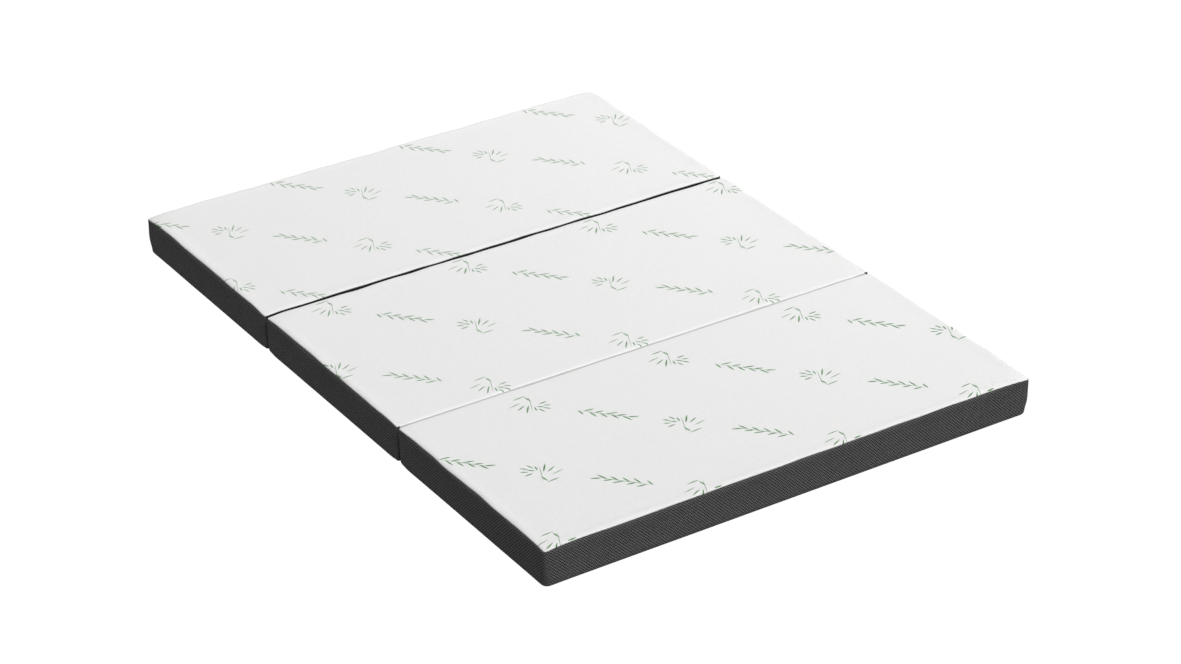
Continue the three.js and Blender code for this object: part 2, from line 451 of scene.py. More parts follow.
# %% [markdown]
# ### The printed knit
#
# The top is a white jersey with a raised pebble stitch, printed with sprigs of narrow leaves. One leaf is a
# pointed oval: in its own frame, where its half length and half width are both one, it is the region where
# a squared plus |b| is under one. A Mapping node puts that frame anywhere at any angle, and a small node
# group holds the sum, so a sprig is a short list of leaves.

# %% A leaf, a sprig and a spray
def leaf_group():
    group = bpy.data.node_groups.new("printed_leaf", "ShaderNodeTree")
    for name, kind in (("Place", "Vector"), ("Middle", "Vector"), ("Turn", "Vector"), ("Size", "Vector")):
        group.interface.new_socket(name, in_out="INPUT", socket_type="NodeSocket" + kind)
    group.interface.new_socket("Edge", in_out="OUTPUT", socket_type="NodeSocketFloat")
    given = group.nodes.new("NodeGroupInput").outputs
    frame_of_leaf = node(group, "Mapping", *given[:4], vector_type="TEXTURE").outputs[0]
    upright = node(group, "VectorMath", frame_of_leaf, operation="ABSOLUTE").outputs[0]
    along, beside, _ = node(group, "SeparateXYZ", upright).outputs
    edge = calc(group, "MULTIPLY_ADD", along, along, beside)
    group.links.new(edge, group.nodes.new("NodeGroupOutput").inputs[0])
    return group


LEAF = leaf_group()

# The sprig: its stem, where its leaves start and how far apart they are, and their size and lean.
STEM_TURN, STEM_HALF, STEM_WIDTH = -47.8, 77, 0.9
LEAVES, FIRST_LEAF, LEAF_SPACING = 10, 7, 13.4
LEAF_HALF, LEAF_VARIES, LEAF_WIDTH, LEAF_LEAN, LEAN_LOSS = 13.5, 1.8, 2.35, 40, 2.2


def leaves_on_stem():
    """A straight stem with leaves set on it by turns left and right, in millimetres and degrees."""
    made = [(0, 0, STEM_TURN, STEM_HALF, STEM_WIDTH)]
    heading = math.radians(STEM_TURN)
    for number in range(LEAVES):
        side = 1 if number % 2 else -1
        half = LEAF_HALF - LEAF_VARIES * math.cos(number * 1.9)
        lean = heading + side * math.radians(LEAF_LEAN - LEAN_LOSS * number)
        foot = -STEM_HALF + FIRST_LEAF + number * LEAF_SPACING
        x = foot * math.cos(heading) + half * math.cos(lean)
        y = foot * math.sin(heading) + half * math.sin(lean)
        made.append((x, y, math.degrees(lean), half, LEAF_WIDTH))
    return made


SPRIG = leaves_on_stem()
# Each leaf of the spray: its middle, its turn, its half length and its half width.
SPRAY = [
    (-30, 33, 131, 10.5, 2.1),
    (-37, 21, 152, 10.0, 2.0),
    (-34, 6, 183, 12.0, 2.1),
    (-14, 34, 108, 11.0, 2.0),
    (-20, 19, 140, 10.0, 2.1),
    (-5, 21, 78, 10.0, 2.0),
    (12, 13, 52, 19.0, 2.2),
    (22, 0, 24, 15.5, 1.9),
    (29, -18, 10, 18.0, 1.3),
    (-13, -27, 97, 12.5, 2.2),
    (2, -42, 4, 18.5, 1.7),
    (-7, -4, 66, 36.0, 0.7),
]
for name, leaves in (("sprig", SPRIG), ("spray", SPRAY)):
    printed_area = sum(8 / 3 * leaf[3] * leaf[4] for leaf in leaves)
    print(name, "of", len(leaves), "leaves,", round(printed_area), "mm2 of ink")

# %% [markdown]
# The print repeats on a slanted lattice. Each row is shifted sideways from the one above, sprigs and sprays
# take turns, and after two rows the motif is turned half round. Rounding a point's coordinates to the
# lattice gives its row, and what is left over is its place within one motif. Every cover was cut from
# another stretch of the roll, so each has its own starting point.

# %% The printed knit
ROW_STEP, SIDE_STEP, REPEAT = 0.1334, 0.1306, 0.393
PRINT_START = {"foot": (-0.248, -0.540), "middle": (-0.013, 0.123), "head": (-0.282, 0.892)}
WHITE_YARN, SHADED_YARN = (0.865, 0.865, 0.862), (0.745, 0.745, 0.742)
LEAF_INK, PALE_INK = (0.085, 0.215, 0.072), (0.19, 0.345, 0.17)
INK_STRENGTH = {"foot": 1.0, "middle": 0.86, "head": 0.74}
WALE, COURSE, KNIT_DEPTH = 0.0026, 0.0021, 0.35 * MM


def knit_relief(tree, place, xyz):
    """The height of the pebble stitch, and its share of shade."""
    wale = calc(tree, "SINE", calc(tree, "MULTIPLY", xyz[0], 2 * math.pi / WALE))
    course = calc(tree, "SINE", calc(tree, "MULTIPLY", xyz[1], 2 * math.pi / COURSE))
    stitch = calc(tree, "MULTIPLY", wale, course)
    pebble = mottle(tree, place, 620, 2)
    height = calc(tree, "MULTIPLY_ADD", stitch, 0.22, pebble)
    return height, soft_step(tree, height, 0.25, 0.8)


def motif_edge(tree, place, leaves):
    """How far a point is from the nearest leaf: under one inside it."""
    nearest = None
    for x, y, angle, half_length, half_width in leaves:
        leaf = tree.nodes.new("ShaderNodeGroup")
        leaf.node_tree = LEAF
        tree.links.new(place, leaf.inputs[0])
        leaf.inputs[1].default_value = (x * MM, y * MM, 0)
        leaf.inputs[2].default_value = (0, 0, math.radians(angle))
        leaf.inputs[3].default_value = (half_length * MM, half_width * MM, 1)
        edge = leaf.outputs[0]
        nearest = edge if nearest is None else calc(tree, "MINIMUM", nearest, edge)
    return nearest


def printed_knit(panel):
    made, tree, place, xyz = new_material(f"printed_knit_{panel}")
    height, light = knit_relief(tree, place, xyz)
    x0, y0 = PRINT_START[panel]
    down = calc(tree, "SUBTRACT", y0, xyz[1])
    row = calc(tree, "ROUND", calc(tree, "DIVIDE", down, ROW_STEP))
    up = calc(tree, "MULTIPLY_ADD", row, ROW_STEP, calc(tree, "MULTIPLY", down, -1.0))
    side = calc(tree, "MULTIPLY_ADD", row, -SIDE_STEP, calc(tree, "SUBTRACT", xyz[0], x0))
    column = calc(tree, "ROUND", calc(tree, "DIVIDE", side, REPEAT))
    right = calc(tree, "MULTIPLY_ADD", column, -REPEAT, side)
    kind = calc(tree, "FLOORED_MODULO", row, 4.0)
    facing = calc(tree, "MULTIPLY_ADD", calc(tree, "GREATER_THAN", kind, 1.5), -2.0, 1.0)
    flat = node(tree, "CombineXYZ", right, up, 0.0).outputs[0]
    turned = node(tree, "VectorMath", flat, operation="SCALE")
    tree.links.new(facing, turned.inputs["Scale"])
    motif = turned.outputs[0]
    sprig, spray = motif_edge(tree, motif, SPRIG), motif_edge(tree, motif, SPRAY)
    odd = calc(tree, "FLOORED_MODULO", row, 2.0)
    edge = node(tree, "Mix", odd, None, sprig, spray, data_type="FLOAT").outputs[0]
    worn = calc(tree, "MULTIPLY_ADD", mottle(tree, place, 520, 1), 0.5, edge)
    printed = soft_step(tree, worn, 1.42, 1.08, 0.0, INK_STRENGTH[panel])
    wash = soft_step(tree, mottle(tree, place, 150, 2), 0.3, 0.75)
    cloth = blend_colour(tree, light, SHADED_YARN, WHITE_YARN)
    green = blend_colour(tree, wash, LEAF_INK, PALE_INK)
    colour = blend_colour(tree, printed, cloth, green)
    finish(tree, colour, height, KNIT_DEPTH, 0.92, sheen=0.12, specular=0.15)
    return made


PRINTED_KNIT = {panel: printed_knit(panel) for panel in PANELS}
print("printed knit nodes:", len(PRINTED_KNIT["foot"].node_tree.nodes))

# %% [markdown]
# The strip over the top fold is the same jersey without a print. It lies in a groove, so it is a little
# duller, and its white yarn is given a mid grey as painted shade of the groove, with random darker blotches.

# %% The plain knit
def plain_knit():
    made, tree, place, xyz = new_material("plain_knit")
    height, light = knit_relief(tree, place, xyz)
    darker_blotches = soft_step(tree, mottle(tree, place, 40, 3), 0.4, 0.8)
    # Painted shade: mid grey in place of the white yarn, for the shade in the groove.
    cloth = blend_colour(tree, light, (0.45, 0.45, 0.447), (0.55, 0.55, 0.546))
    colour = blend_colour(tree, darker_blotches, cloth, (0.46, 0.46, 0.456))
    finish(tree, colour, height, KNIT_DEPTH, 0.92, sheen=0.1, specular=0.15)
    return made


PLAIN_KNIT = plain_knit()
print(PLAIN_KNIT.name)

# %% [markdown]
# ### The air mesh
#
# The side band is a spacer mesh: charcoal yarns cross on the slant and leave open holes between them, one
# at each point and each middle of an 8 mm square grid. The product of two cosines has exactly that pattern.
# It follows the band's own UV map, in metres, which runs round the panel and up its side, so the lattice
# turns the corners without a break. The holes are painted near black, as the shade inside them. Painted
# dull grey glints along the yarns and a fine fuzz break it up.

# %% The air mesh
MESH_STEP, FILAMENT, MESH_DEPTH = 8 * MM, 1.4 * MM, 0.9 * MM
# The grey is a painted glint along the yarns.
DARK_YARN, YARN_GLINT, KNOT_YARN = (0.058, 0.058, 0.059), (0.154, 0.154, 0.156), (0.29, 0.29, 0.292)
# The near black of an open hole is painted shade inside it.
WORN_PATCH, HOLE_SHADE = (0.078, 0.078, 0.079), (0.006, 0.006, 0.006)
MESH_MAP = "band_in_metres"


def air_mesh():
    made, tree, _, _ = new_material("charcoal_air_mesh")
    cloth_map = node(tree, "UVMap", uv_map=MESH_MAP).outputs[0]
    u, v, _ = node(tree, "SeparateXYZ", cloth_map).outputs
    jitter = calc(tree, "MULTIPLY_ADD", mottle(tree, cloth_map, 160, 1), 0.0016, -0.0008)
    rate = 2 * math.pi / MESH_STEP
    round_panel = calc(tree, "COSINE", calc(tree, "MULTIPLY", calc(tree, "ADD", u, jitter), rate))
    up_side = calc(tree, "COSINE", calc(tree, "MULTIPLY", calc(tree, "SUBTRACT", v, jitter), rate))
    lattice = calc(tree, "MULTIPLY", round_panel, up_side)
    hole = soft_step(tree, lattice, 0.03, 0.32)
    slant = calc(tree, "MULTIPLY", calc(tree, "ADD", u, v), 2 * math.pi / FILAMENT)
    counter = calc(tree, "MULTIPLY", calc(tree, "SUBTRACT", u, v), 2 * math.pi / FILAMENT)
    ribs = calc(tree, "MULTIPLY", calc(tree, "SINE", slant), calc(tree, "SINE", counter))
    filament = calc(tree, "MULTIPLY_ADD", ribs, 0.28, mottle(tree, cloth_map, 900, 2))
    knot = soft_step(tree, lattice, -0.35, -0.95)
    patch = soft_step(tree, mottle(tree, cloth_map, 9, 3), 0.3, 0.72)
    # Painted glints: the yarns turn grey where the filament pattern is high.
    colour = blend_colour(tree, soft_step(tree, filament, 0.35, 0.7), DARK_YARN, YARN_GLINT)
    # Painted shade: the holes are turned near black.
    for share, most, shade in ((knot, 0.45, KNOT_YARN), (patch, 0.22, WORN_PATCH), (hole, 0.97, HOLE_SHADE)):
        colour = blend_colour(tree, calc(tree, "MULTIPLY", share, most), colour, shade)
    height = calc(tree, "MULTIPLY_ADD", hole, -1.0, calc(tree, "MULTIPLY", filament, 0.28))
    finish(tree, colour, height, MESH_DEPTH, 0.85, sheen=0.10, specular=0.2)
    return made


AIR_MESH = air_mesh()
print(AIR_MESH.name, "lattice of", MESH_STEP)

# %% [markdown]
# ### The underside, the hinge tape and the zip tapes
#
# The underside is a tight charcoal twill with small rubber dots that stop it from sliding. The tape of the
# lower hinge, the cloth inside the joints, the zip tapes, the sewing thread and the label are plain woven,
# so their relief is two crossing sets of ribs. The near-black cloth inside the joints is painted shade: it
# darkens the narrow gap between two panels.

# %% Woven cloths
TWILL_PITCH, DOT_PITCH, DOT_EDGE, DOT_MIDDLE = 1.8 * MM, 12 * MM, 0.17, 0.12


def woven(tree, xyz, first, second, pitch):
    """A plain weave on two axes: the height of whichever yarn lies on top."""
    across_yarns = calc(tree, "SINE", calc(tree, "MULTIPLY", xyz[first], math.pi / pitch))
    along_yarns = calc(tree, "SINE", calc(tree, "MULTIPLY", xyz[second], math.pi / pitch))
    return calc(tree, "ABSOLUTE", calc(tree, "MULTIPLY", across_yarns, along_yarns))


def underside_twill():
    made, tree, place, xyz = new_material("underside_twill")
    slant = calc(tree, "ADD", xyz[0], xyz[1])
    rib = calc(tree, "SINE", calc(tree, "MULTIPLY", slant, 2 * math.pi / TWILL_PITCH))
    fuzz = mottle(tree, place, 700, 2)
    cells = node(tree, "CombineXYZ", xyz[0], xyz[1], 0.0).outputs[0]
    cells = node(tree, "VectorMath", cells, (DOT_PITCH, DOT_PITCH, 1.0), operation="DIVIDE").outputs[0]
    cells = node(tree, "VectorMath", cells, operation="FRACTION").outputs[0]
    dot = node(tree, "VectorMath", cells, (0.5, 0.5, 0.0), operation="DISTANCE").outputs["Value"]
    rubber = soft_step(tree, dot, DOT_EDGE, DOT_MIDDLE)
    cloth = blend_colour(tree, soft_step(tree, fuzz, 0.3, 0.7), (0.026, 0.027, 0.030), (0.052, 0.053, 0.058))
    colour = blend_colour(tree, rubber, cloth, (0.014, 0.014, 0.015))
    ribs = calc(tree, "MULTIPLY_ADD", rib, 0.15, calc(tree, "MULTIPLY", fuzz, 0.3))
    height = calc(tree, "MULTIPLY_ADD", rubber, 1.2, ribs)
    finish(tree, colour, height, 0.5 * MM, 0.88, sheen=0.06, specular=0.2)
    return made


def woven_tape(name, dark, light, first, second, pitch, sheen):
    made, tree, place, xyz = new_material(name)
    relief = woven(tree, xyz, first, second, pitch)
    fuzz = mottle(tree, place, 900, 2)
    shade = calc(tree, "MULTIPLY_ADD", relief, 0.6, calc(tree, "MULTIPLY", fuzz, 0.4))
    colour = blend_colour(tree, soft_step(tree, shade, 0.2, 0.85), dark, light)
    finish(tree, colour, shade, 0.25 * MM, 0.86, sheen=sheen, specular=0.2)
    return made


UNDERSIDE = underside_twill()
HINGE_TAPE = woven_tape("hinge_tape", (0.016, 0.016, 0.018), (0.040, 0.041, 0.045), 0, 1, 0.9 * MM, 0.05)
# Near black: painted shade on the walls that face each other inside a joint.
JOINT_SHADE_CLOTH = woven_tape("joint_cloth", (0.010, 0.010, 0.011), (0.028, 0.028, 0.029), 0, 2, 1.1 * MM, 0.03)
ZIP_TAPE = woven_tape("zip_tape_weave", (0.014, 0.014, 0.016), (0.045, 0.046, 0.050), 1, 2, 0.6 * MM, 0.08)
THREAD = woven_tape("sewing_thread", (0.030, 0.031, 0.034), (0.085, 0.087, 0.092), 1, 2, 0.35 * MM, 0.12)
LABEL_SATIN = woven_tape("label_satin", (0.72, 0.72, 0.70), (0.86, 0.86, 0.845), 1, 2, 0.3 * MM, 0.2)
print("woven cloths:", [m.name for m in (UNDERSIDE, HINGE_TAPE, ZIP_TAPE, THREAD, LABEL_SATIN)])

# %% [markdown]
# ### Foams, nylon and painted metal
#
# Inside each cover a layer of pale yellow memory foam lies on a firmer white foam. Both show cells: fine
# and even in the memory foam, coarser in the other, with the hollow of each cell painted darker as the shade
# inside it. The teeth are black nylon. The sliders, pulls and stops are die-cast and painted black, with
# the paint thinner and greyer where fingers rub it.

# %% Foams, nylon and painted metal
def foam(name, pale, pore_shade, cell, depth):
    made, tree, place, _ = new_material(name)
    pores = node(tree, "TexVoronoi", place, feature="F1")
    pores.inputs["Scale"].default_value = 1 / cell
    open_cell = soft_step(tree, pores.outputs["Distance"], 0.55, 0.15)
    tint = mottle(tree, place, 14, 3)
    colour = blend_colour(tree, soft_step(tree, tint, 0.3, 0.7), pale, tuple(0.94 * c for c in pale))
    # Painted shade: the hollow of each cell is darkened.
    colour = blend_colour(tree, calc(tree, "MULTIPLY", open_cell, 0.55), colour, pore_shade)
    finish(tree, colour, calc(tree, "MULTIPLY", open_cell, -1.0), depth, 0.95, sheen=0.05, specular=0.15)
    return made


def hard_black(name, colour, worn, roughness):
    made, tree, place, _ = new_material(name)
    scuffs = soft_step(tree, mottle(tree, place, 420, 4, 0.65), 0.52, 0.74)
    rubbed = soft_step(tree, node(tree, "NewGeometry").outputs["Pointiness"], 0.51, 0.57)
    share = calc(tree, "MAXIMUM", calc(tree, "MULTIPLY", scuffs, 0.35), calc(tree, "MULTIPLY", rubbed, 0.6))
    dull = soft_step(tree, mottle(tree, place, 160, 2), 0.2, 0.8, roughness - 0.07, roughness + 0.1)
    grain = mottle(tree, place, 1500, 2)
    finish(tree, blend_colour(tree, share, colour, worn), grain, 0.04 * MM, dull, specular=0.5)
    return made


# The second colour of each foam is the painted shade inside its cells.
MEMORY_FOAM = foam("memory_foam_cells", (0.80, 0.76, 0.56), (0.55, 0.50, 0.33), 0.9 * MM, 0.3 * MM)
SUPPORT_FOAM = foam("support_foam_cells", (0.84, 0.83, 0.78), (0.56, 0.55, 0.50), 1.6 * MM, 0.5 * MM)
ZIP_TEETH = hard_black("zip_nylon", (0.016, 0.016, 0.018), (0.05, 0.05, 0.054), 0.38)
ZIP_METAL = hard_black("zip_painted_metal", (0.022, 0.022, 0.024), (0.16, 0.16, 0.165), 0.33)
print("foams and hard finishes:", [m.name for m in (MEMORY_FOAM, SUPPORT_FOAM, ZIP_TEETH, ZIP_METAL)])

# %% [markdown]
# ## The covers
#
# A cover is a sewn box of cloth pulled over a foam block. Cloth pulled over foam rounds the edges, dips at
# the corners and swells a little between them. The box starts as a cube that is cut into strips along its
# three axes. The cuts are then spread unevenly: close together at the edges, where the cloth turns, and
# exactly on the outline of the zip's opening. Each vertex keeps its place on the flat-sided box, so that
# later steps can tell the top from the sides.

# %% The grid of a cover
GRID_STEP, EDGE_STEPS = 15 * MM, np.array([0, 3, 6.5, 11, 17, 25]) * MM
LOW_STEPS, HIGH_STEPS = np.array([0, 3, 6.5, 11, 15]) * MM, np.array([56, 64, 72, 80, 87, 92]) * MM
BOX_PLACE, TOUCH = "box_place", 1e-6
ZIP_HEIGHT = float(sum(c[2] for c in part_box("foot_zip_slider"))) / 2
upper_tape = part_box("foot_zip_upper_tape")
SLOT_LOW, SLOT_HIGH = float(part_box("foot_zip_lower_tape")[0][2]), float(upper_tape[1][2])
SLOT_HALF = float(upper_tape[1][1] - upper_tape[0][1]) / 2
BAND_LINE = THICK - 6.5 * MM


def grid_lines(half, extra=()):
    """Positions of the cuts from -half to half, close together near both ends."""
    edge = -half + np.append(EDGE_STEPS, extra)
    middle = np.linspace(edge[-1], -edge[-1], round(-2 * edge[-1] / GRID_STEP) + 1)
    return np.concatenate([edge[:-1], middle, -edge[:-1][::-1]])


slot_lines = np.linspace(SLOT_LOW, SLOT_HIGH, 5)
LINES = (
    grid_lines(HALF_WIDTH),
    grid_lines(HALF_LENGTH, extra=[HALF_LENGTH - SLOT_HALF]),
    np.concatenate([LOW_STEPS, slot_lines, HIGH_STEPS, [BAND_LINE, THICK - 3 * MM, THICK]]),
)


def cover_grid(panel):
    """A cube cut into a grid, its vertices still on the flat sides of the box, about the panel's centre."""
    piece = start_box(f"{panel}_cover", (-0.5, -0.5, 0), (0.5, 0.5, 1))
    for axis, lines in enumerate(LINES):
        cut_along(piece, axis, len(lines) - 2)
    even = points(piece)
    places = np.empty_like(even)
    for axis, lines in enumerate(LINES):
        share = even[:, axis] + (0.5 if axis < 2 else 0.0)
        places[:, axis] = np.interp(share, np.linspace(0, 1, len(lines)), lines)
    move_points(piece, places)
    mark = piece.data.attributes.new(BOX_PLACE, "FLOAT_VECTOR", "POINT")
    mark.data.foreach_set("vector", places.ravel())
    return piece


print("cuts:", [len(lines) for lines in LINES], "zip opening", SLOT_LOW, SLOT_HIGH, SLOT_HALF)

# %% [markdown]
# Some parts of a cover behave in their own way: the edge that the strip over the top fold is sewn to, the
# walls inside a joint, the strip of the side that holds the zip, and the corners. Each is described by a
# value from 0 to 1 for every point of the flat-sided box, so that effects fade in and out.

# %% Parts of a cover
CORNER_REACH = 32 * MM
# How far each panel's corners dip, first at the end towards the foot and then towards the head.
CORNER_DIPS = {
    "foot": (4.0 * MM, 1.5 * MM),
    "middle": (1.5 * MM, 2.5 * MM),
    "head": (2.5 * MM, 4.5 * MM),
}


def to_rim(box):
    """How far a point is from the nearest side of its panel."""
    return np.minimum(HALF_WIDTH - np.abs(box[:, 0]), HALF_LENGTH - np.abs(box[:, 1]))


def top_joint(box, panel):
    """1 at the edge of a panel that the strip over the top fold is sewn to, fading out over 60 mm."""
    side = {"foot": 1, "middle": -1, "head": 0}[panel]
    return (1 - ease(HALF_LENGTH - side * box[:, 1], 0, 60 * MM)) * abs(side)


def in_joint(box, panel):
    """1 on the half of a cover that ends in a joint, and 0 on the half that ends in the open."""
    open_end = {"foot": -1, "middle": 0, "head": 1}[panel]
    return (np.sign(box[:, 1]) != open_end) * 1.0


def joint_faces(box, panel):
    """1 on the walls that face another panel across a joint."""
    return in_joint(box, panel) * (np.abs(box[:, 1]) > HALF_LENGTH - TOUCH)


def zip_calm(box):
    """1 on the strip of the +X side round the zip, and 0 away from it."""
    side = box[:, 0] > HALF_WIDTH - TOUCH
    along = 1 - ease(np.abs(box[:, 1]), SLOT_HALF + 6 * MM, SLOT_HALF + 26 * MM)
    above = 1 - ease(box[:, 2], SLOT_HIGH + 6 * MM, SLOT_HIGH + 22 * MM)
    up = ease(box[:, 2], SLOT_LOW - 12 * MM, SLOT_LOW - 4 * MM) * above
    return side * along * up


def near_corner(x, y, reach):
    """1 at a panel's corners, fading out over a reach; x and y start at the panel's centre."""
    away_from_corner = np.hypot(HALF_WIDTH - np.abs(x), HALF_LENGTH - np.abs(y))
    return np.exp(-((away_from_corner / reach) ** 2))


def corner_dip(y, panel):
    """The dip of the corners at the end that a point is on."""
    return np.where(y > 0, CORNER_DIPS[panel][1], CORNER_DIPS[panel][0])


print("corner dips:", CORNER_DIPS)

# %% [markdown]
# The rounding works on each point's distance past the start of a curve. A square corner turns into a round
# one when the point's offset is scaled by its longer part over its length, and this is done once in plan
# and once in section. The curves are not all alike. Where the strip over the top fold pulls on a cover, its
# top edge and corners are tight; the outer corners are rounder towards the floor, and so is the foot of
# every wall inside a joint.

# %% Rounding a cover
PLAN_ROUND, TIGHT_ROUND, LOW_CORNER_ROUND = 8 * MM, 3 * MM, 19 * MM
TOP_ROUND, JOINT_TOP_ROUND, FOOT_ROUND, JOINT_FOOT_ROUND = 4 * MM, 3 * MM, 7 * MM, 13 * MM
TURN_ROUND = 14 * MM


def square_to_round(a, b):
    """The factor that takes a point of a square corner to the round one."""
    length = np.hypot(a, b)
    return np.where(length > 1e-9, np.maximum(a, b) / np.maximum(length, 1e-9), 1.0)


def past_sides(box, radius):
    """How far a point is past the start of a curve, along x and along y."""
    return (
        np.clip(np.abs(box[:, 0]) - (HALF_WIDTH - radius), 0, None),
        np.clip(np.abs(box[:, 1]) - (HALF_LENGTH - radius), 0, None),
    )


def pulled_tight(box, panel):
    """1 on the upper part of the edge that the strip over the top fold pulls on."""
    return top_joint(box, panel) * ease(box[:, 2], 68 * MM, 84 * MM)


def round_in_plan(box, panel):
    """Rounds the upright corners: new x and y, and the way out of the cover at each point."""
    ax, ay, z = np.abs(box[:, 0]), np.abs(box[:, 1]), box[:, 2]
    sx, sy = np.sign(box[:, 0]), np.sign(box[:, 1])
    tight = pulled_tight(box, panel)
    low_corner = (1 - ease(z, 6 * MM, 44 * MM)) * (1 - in_joint(box, panel))
    radius = PLAN_ROUND + (TIGHT_ROUND - PLAN_ROUND) * tight + (LOW_CORNER_ROUND - PLAN_ROUND) * low_corner
    past_x, past_y = past_sides(box, radius)
    factor = square_to_round(past_x, past_y)
    x = sx * (np.minimum(ax, HALF_WIDTH - radius) + past_x * factor)
    y = sy * (np.minimum(ay, HALF_LENGTH - radius) + past_y * factor)
    turn_x, turn_y = past_sides(box, TURN_ROUND)
    safe = np.maximum(np.hypot(turn_x, turn_y), 1e-9)
    return x, y, np.stack([sx * turn_x / safe, sy * turn_y / safe], 1)


def round_in_section(box, panel):
    """Rounds the edges of the top and of the underside: each point's move outwards, and its new height."""
    z, rim = box[:, 2], to_rim(box)
    shift, height = np.zeros(len(box)), z.copy()
    top_round = TOP_ROUND + (JOINT_TOP_ROUND - TOP_ROUND) * top_joint(box, panel)
    joint_end = in_joint(box, panel) * (1 - ease(HALF_LENGTH - np.abs(box[:, 1]), 0, 40 * MM))
    foot_round = FOOT_ROUND + (JOINT_FOOT_ROUND - FOOT_ROUND) * joint_end
    for radius, centre, side in ((top_round, THICK - top_round, 1), (foot_round, foot_round, -1)):
        inward, upwards = np.clip(radius - rim, 0, None), np.clip(side * (z - centre), 0, None)
        turn = np.where((inward > 0) & (upwards > 0), square_to_round(inward, upwards), 1.0)
        shift -= inward * (1 - turn)
        height -= side * upwards * (1 - turn)
    return shift, height


print("edges rounded by", TOP_ROUND, "at the top and", FOOT_ROUND, "at the foot")

# %% [markdown]
# Small random waves then keep any edge from looking ruled: the top seam wanders by a millimetre or two, the
# corners dip, and the faces inside a joint swell towards each other until they nearly touch. The strip of
# the side that holds the zip stays flat.

# %% The shape of a cover
# Swells and waves in millimetres, and the lengths of the waves in metres.
SIDE_SWELL, SIDE_WAVES, FOOT_TUCK, JOINT_SWELL, JOINT_PRESS = 0.8, 0.9, 1.2, 2.4, 1.2
SEAM_WANDER, SEAM_DROP, SEAM_DROP_WAVES, TOP_SWELL, TOP_WAVES = 1.1, 0.7, 0.8, 0.35, 0.35
SIDE_LENGTH, WANDER_LENGTH, DROP_LENGTH, TOP_LENGTH = 0.17, 0.10, 0.12, 0.24
SEAM_REACH = 20 * MM


def cover_shape(box, panel, seed):
    x, y, out = round_in_plan(box, panel)
    shift, height = round_in_section(box, panel)
    z, rim = box[:, 2], to_rim(box)
    level = z / THICK
    wall = (rim < TOUCH) * 1.0
    calm = 1 - zip_calm(box)
    corner = near_corner(box[:, 0], box[:, 1], CORNER_REACH)
    world = np.stack([x, y + CENTRE[panel], z], 1)
    swell = np.sin(np.pi * np.clip(level, 0, 1)) ** 0.7
    joint, tight = joint_faces(box, panel), pulled_tight(box, panel)
    side_swell = SIDE_SWELL + SIDE_WAVES * ripples(world, SIDE_LENGTH, seed)
    shift += wall * swell * calm * (1 - joint) * side_swell * MM
    shift -= wall * (1 - level) * (1 - joint) * calm * FOOT_TUCK * MM
    press = tight * (1 - ease(z, 93 * MM, 98 * MM))
    joint_swell = JOINT_SWELL * swell + JOINT_PRESS * press
    shift += wall * joint * joint_swell * (1 - (0.6 - 0.5 * tight) * corner) * MM

    seam = np.exp(-(rim + (THICK - z)) / SEAM_REACH) * (1 - 0.55 * top_joint(box, panel))
    shift += seam * SEAM_WANDER * ripples(world, WANDER_LENGTH, seed + 1) * MM
    height -= seam * (SEAM_DROP + SEAM_DROP_WAVES * ripples(world, DROP_LENGTH, seed + 2)) * MM
    height -= corner_dip(box[:, 1], panel) * corner * level**2
    top_swell = TOP_SWELL + TOP_WAVES * ripples(world, TOP_LENGTH, seed + 3)
    height += (z > THICK / 2) * ease(rim, 10 * MM, 160 * MM) * top_swell * MM
    return np.stack([x + out[:, 0] * shift, y + CENTRE[panel] + out[:, 1] * shift, height], 1)


print("top seam drops by about", SEAM_DROP, "mm")

# %% [markdown]
# Left to itself, cloth over foam finds small folds that no formula gives. So the three covers are put
# through a short cloth simulation, swollen by a little air with gravity off. The foam is stood in for by
# pins: firm in the middle of each face, nearly free along the sewn edges, where the cloth also has a little
# spare length to pucker. The movement is capped, so the covers still clear each other when they are folded.

# %% Letting the cloth settle
SETTLE_FRAMES, MOST_MOVE = 20, 3.5 * MM
PIN_LEVELS, SEAM_FREE = 20, 42 * MM


def vertex_weights(piece, name, weights):
    group = piece.vertex_groups.new(name=name)
    stepped = np.round(np.clip(weights, 0, 1) * PIN_LEVELS).astype(int)
    for level in range(1, PIN_LEVELS + 1):
        group.add(np.flatnonzero(stepped == level).tolist(), level / PIN_LEVELS, "REPLACE")
    return group.name


def add_cloth(piece, panel, box):
    to_seam = to_rim(box) + np.minimum(box[:, 2], THICK - box[:, 2])
    free = np.exp(-((to_seam / SEAM_FREE) ** 2))
    pins = 0.95 - 0.88 * free
    for held in (0.9 * joint_faces(box, panel), 0.85 * top_joint(box, panel), zip_calm(box)):
        pins = np.maximum(pins, held)
    cloth = piece.modifiers.new("cloth", "CLOTH")
    cloth.point_cache.frame_start, cloth.point_cache.frame_end = 1, SETTLE_FRAMES
    made = cloth.settings
    made.quality, made.mass = 5, 0.25
    made.tension_stiffness = made.compression_stiffness = 25
    made.shear_stiffness, made.bending_stiffness = 12, 0.6
    made.use_pressure, made.uniform_pressure_force = True, 3.5
    made.effector_weights.gravity = 0
    made.vertex_group_mass = vertex_weights(piece, "foam_behind", pins)
    made.pin_stiffness = 1.0
    made.vertex_group_shrink = vertex_weights(piece, "spare_cloth", free * (1 - zip_calm(box)))
    made.shrink_min, made.shrink_max = 0.0, -0.03
    cloth.collision_settings.use_collision = False
    cloth.collision_settings.use_self_collision = False


